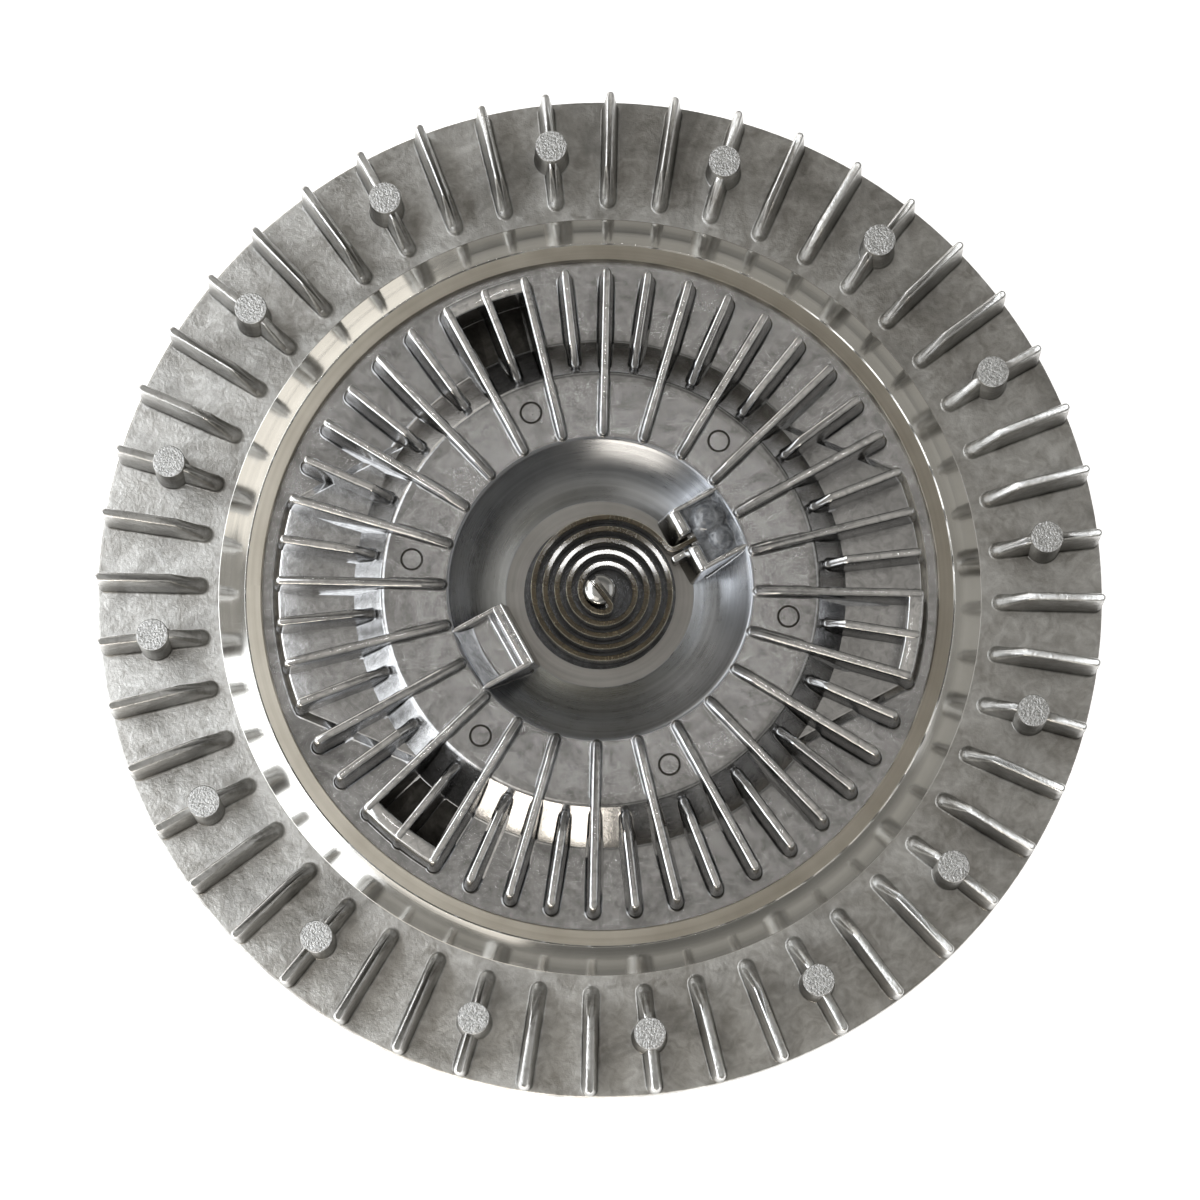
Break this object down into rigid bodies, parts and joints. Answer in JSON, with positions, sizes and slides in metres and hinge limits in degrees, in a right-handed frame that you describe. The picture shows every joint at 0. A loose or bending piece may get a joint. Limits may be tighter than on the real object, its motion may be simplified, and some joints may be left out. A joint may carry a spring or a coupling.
{
  "type": "viscous fan clutch",
  "caption": "Round finned viscous fan clutch with a finned cover, a bimetal coil in its bowl and a hexagon drive hub with a threaded bore; drags a cooling fan round through silicone fluid.",
  "frame": {"origin": "centre of the drive shaft's rear end face, which the clutch stands on", "axes": "+Z along the axis of rotation, from the drive shaft towards the finned cover; the fan flange's fin at 0 degrees lies along +X"},
  "size_m": [0.22, 0.22, 0.0676],
  "materials": {
    "cast_housing": "as die-cast, lip machined",
    "cast_cover": "satin die-cast",
    "turned_aluminium": "machined",
    "steel": "turned and oiled",
    "bearing_steel": "ground",
    "bright_steel": "bright turned",
    "bimetal": "rolled strip with a bronze tint",
    "spring_steel": "phosphated",
    "cage_brass": "machined",
    "seal_rubber": "matt",
    "sealant": "glossy hardened resin"
  },
  "bodies": {
    "drive": {"drive_shaft": "steel", "rotor": "turned_aluminium", "bearing_inner_race": "bearing_steel"},
    "housing": {"housing_body": "cast_housing", "front_cover": "cast_cover", "cover_seal_ring": "seal_rubber", "pump_plate": "steel", "pump_plate_rivets": "steel", "bimetal_coil": "bimetal", "anchor_sealant": "sealant", "bearing_outer_race": "bearing_steel", "bearing_seal_front": "seal_rubber", "bearing_seal_rear": "seal_rubber", "bearing_retaining_ring": "spring_steel"},
    "cage": {"bearing_cage": "cage_brass", "bearing_balls": "bearing_steel"},
    "valve": {"valve_shaft": "bright_steel", "valve_arm": "spring_steel", "valve_shaft_seal": "seal_rubber"}
  },
  "joints": [
    {"name": "housing_spin", "type": "hinge", "parent": "drive", "child": "housing", "pos_m": [0, 0, 0.0225], "axis": [0, 0, 1], "continuous": true},
    {"name": "cage_spin", "type": "hinge", "parent": "drive", "child": "cage", "pos_m": [0, 0, 0.0225], "axis": [0, 0, 1], "continuous": true},
    {"name": "valve_turn", "type": "hinge", "parent": "housing", "child": "valve", "pos_m": [0, 0, 0.05], "axis": [0, 0, 1], "range_deg": [0, 35], "stiffness_Nm_per_rad": 0.05, "deforming": ["bimetal_coil"]}
  ],
  "couplings": [
    {"joint": "cage_spin", "follows": "housing_spin", "ratio": 0.58405}
  ]
}
